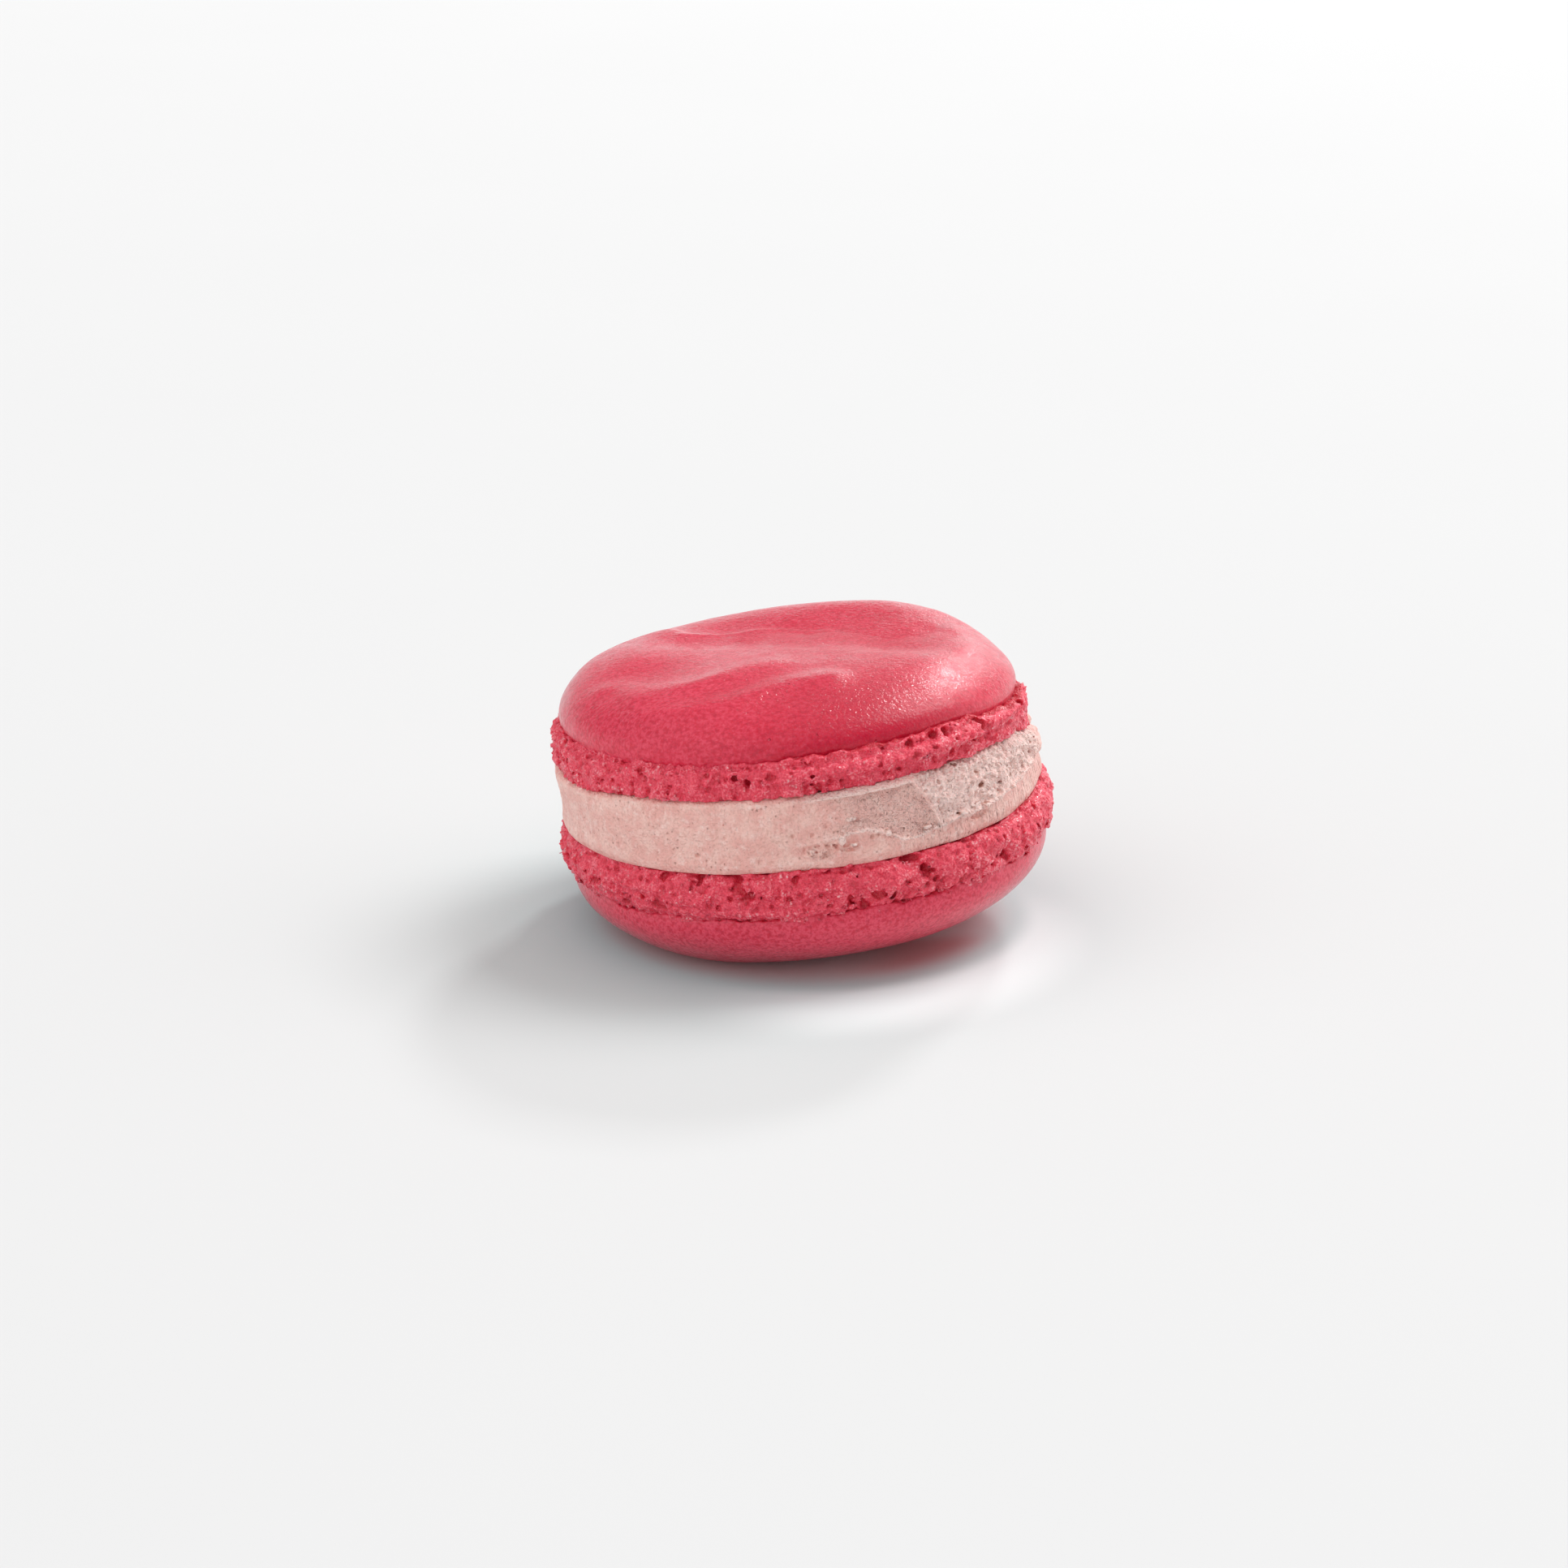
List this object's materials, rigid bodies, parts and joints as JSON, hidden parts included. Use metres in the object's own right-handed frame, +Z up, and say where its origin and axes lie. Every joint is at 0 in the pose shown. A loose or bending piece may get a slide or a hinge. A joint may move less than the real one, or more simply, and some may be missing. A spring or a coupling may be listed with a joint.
{
  "type": "french macaron",
  "caption": "Round pink-red macaron: smooth domed almond shells with rough crumbly feet, joined by a thick pale pink buttercream filling, resting with a slight lean.",
  "frame": {"origin": "on the table plane, under the centre of the macaron's bounding box", "axes": "+Z up; +X towards the raised side of the lean; -Y towards the side with the torn filling"},
  "size_m": [0.0455, 0.0453, 0.0265],
  "materials": {
    "shell": "baked almond meringue, satin smooth skin on the caps and granular porous crumb on the feet",
    "buttercream": "soft matte whipped buttercream with small air holes and a torn patch"
  },
  "bodies": {
    "root": {"top_shell": "shell", "bottom_shell": "shell", "filling": "buttercream"}
  },
  "joints": []
}
